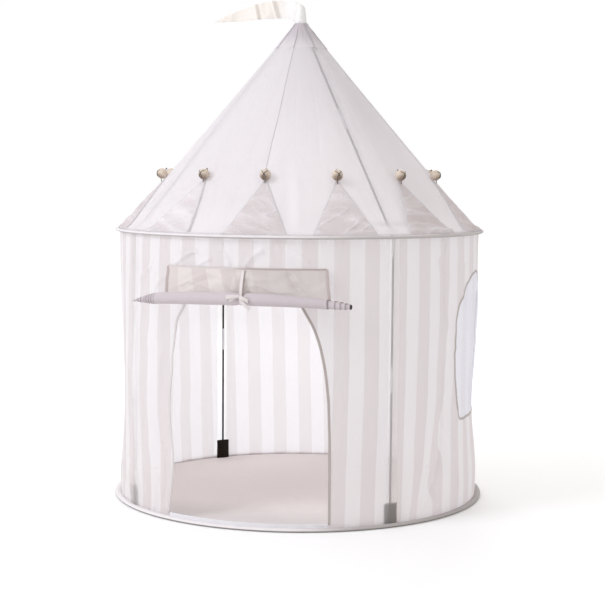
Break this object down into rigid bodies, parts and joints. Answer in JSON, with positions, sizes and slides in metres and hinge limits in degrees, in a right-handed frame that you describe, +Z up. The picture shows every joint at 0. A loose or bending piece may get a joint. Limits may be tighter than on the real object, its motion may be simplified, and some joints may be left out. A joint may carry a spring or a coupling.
{
  "type": "kids play tent",
  "caption": "Round play tent for children: striped walls between two hoops, cone roof on jointed poles, rolled and tied door, net windows, bunting with wooden beads, pennant flag.",
  "frame": {"origin": "middle of the groundsheet's underside, on the floor that the tent stands on", "axes": "+Z up along the tent's axis, -Y out through the door, +X to the right of somebody who faces the door"},
  "size_m": [1, 1.0464, 1.3355],
  "materials": {
    "floor_cloth": "woven, matte",
    "sleeve_cloth": "woven, matte",
    "hoop_wire": "drawn wire",
    "wall_cloth": "striped woven cotton, matte",
    "net": "fine net",
    "binding": "sewn tape",
    "door_cloth": "woven, matte",
    "ribbon": "satin ribbon",
    "roof_cloth": "woven, matte",
    "bunting_cloth": "woven, matte",
    "wood": "sanded",
    "pocket_nylon": "woven nylon",
    "pole_rod": "drawn fibreglass, satin",
    "pole_metal": "satin",
    "hub_plastic": "moulded",
    "flag_cloth": "woven cotton, matte"
  },
  "bodies": {
    "tent": {"floor_sheet": "floor_cloth", "base_sleeve": "sleeve_cloth", "top_sleeve": "sleeve_cloth", "base_hoop": "hoop_wire", "top_hoop": "hoop_wire", "wall_front": "wall_cloth", "wall_right": "wall_cloth", "wall_back": "wall_cloth", "wall_left": "wall_cloth", "window_net_right": "net", "window_binding_right": "binding", "window_net_left": "net", "window_binding_left": "binding", "door_binding": "binding", "roof_front_right": "roof_cloth", "roof_back_right": "roof_cloth", "roof_back_left": "roof_cloth", "roof_front_left": "roof_cloth", "bunting": "bunting_cloth", "bead_01": "wood", "bead_02": "wood", "bead_03": "wood", "bead_04": "wood", "bead_05": "wood", "bead_06": "wood", "bead_07": "wood", "bead_08": "wood", "bead_09": "wood", "bead_10": "wood", "bead_11": "wood", "bead_12": "wood", "front_right_pocket": "pocket_nylon", "front_right_lower_rod": "pole_rod", "front_right_upper_rod": "pole_rod", "front_right_roof_rod_lower": "pole_rod", "front_right_roof_rod_upper": "pole_rod", "front_right_elbow": "pole_metal", "back_right_pocket": "pocket_nylon", "back_right_lower_rod": "pole_rod", "back_right_upper_rod": "pole_rod", "back_right_roof_rod_lower": "pole_rod", "back_right_roof_rod_upper": "pole_rod", "back_right_elbow": "pole_metal", "back_left_pocket": "pocket_nylon", "back_left_lower_rod": "pole_rod", "back_left_upper_rod": "pole_rod", "back_left_roof_rod_lower": "pole_rod", "back_left_roof_rod_upper": "pole_rod", "back_left_elbow": "pole_metal", "front_left_pocket": "pocket_nylon", "front_left_lower_rod": "pole_rod", "front_left_upper_rod": "pole_rod", "front_left_roof_rod_lower": "pole_rod", "front_left_roof_rod_upper": "pole_rod", "front_left_elbow": "pole_metal", "crown_hub": "hub_plastic"},
    "door": {"door_flap": "door_cloth", "door_roll": "door_cloth", "door_tie": "ribbon"},
    "pennant": {"flag": "flag_cloth"}
  },
  "joints": [
    {"name": "door_swing", "type": "hinge", "parent": "tent", "child": "door", "pos_m": [0, -0.486, 0.642], "axis": [-1, 0, 0], "range_deg": [0, 80]},
    {"name": "flag_swivel", "type": "hinge", "parent": "tent", "child": "pennant", "pos_m": [0, 0, 1.2655], "axis": [0, 0, 1], "continuous": true}
  ]
}
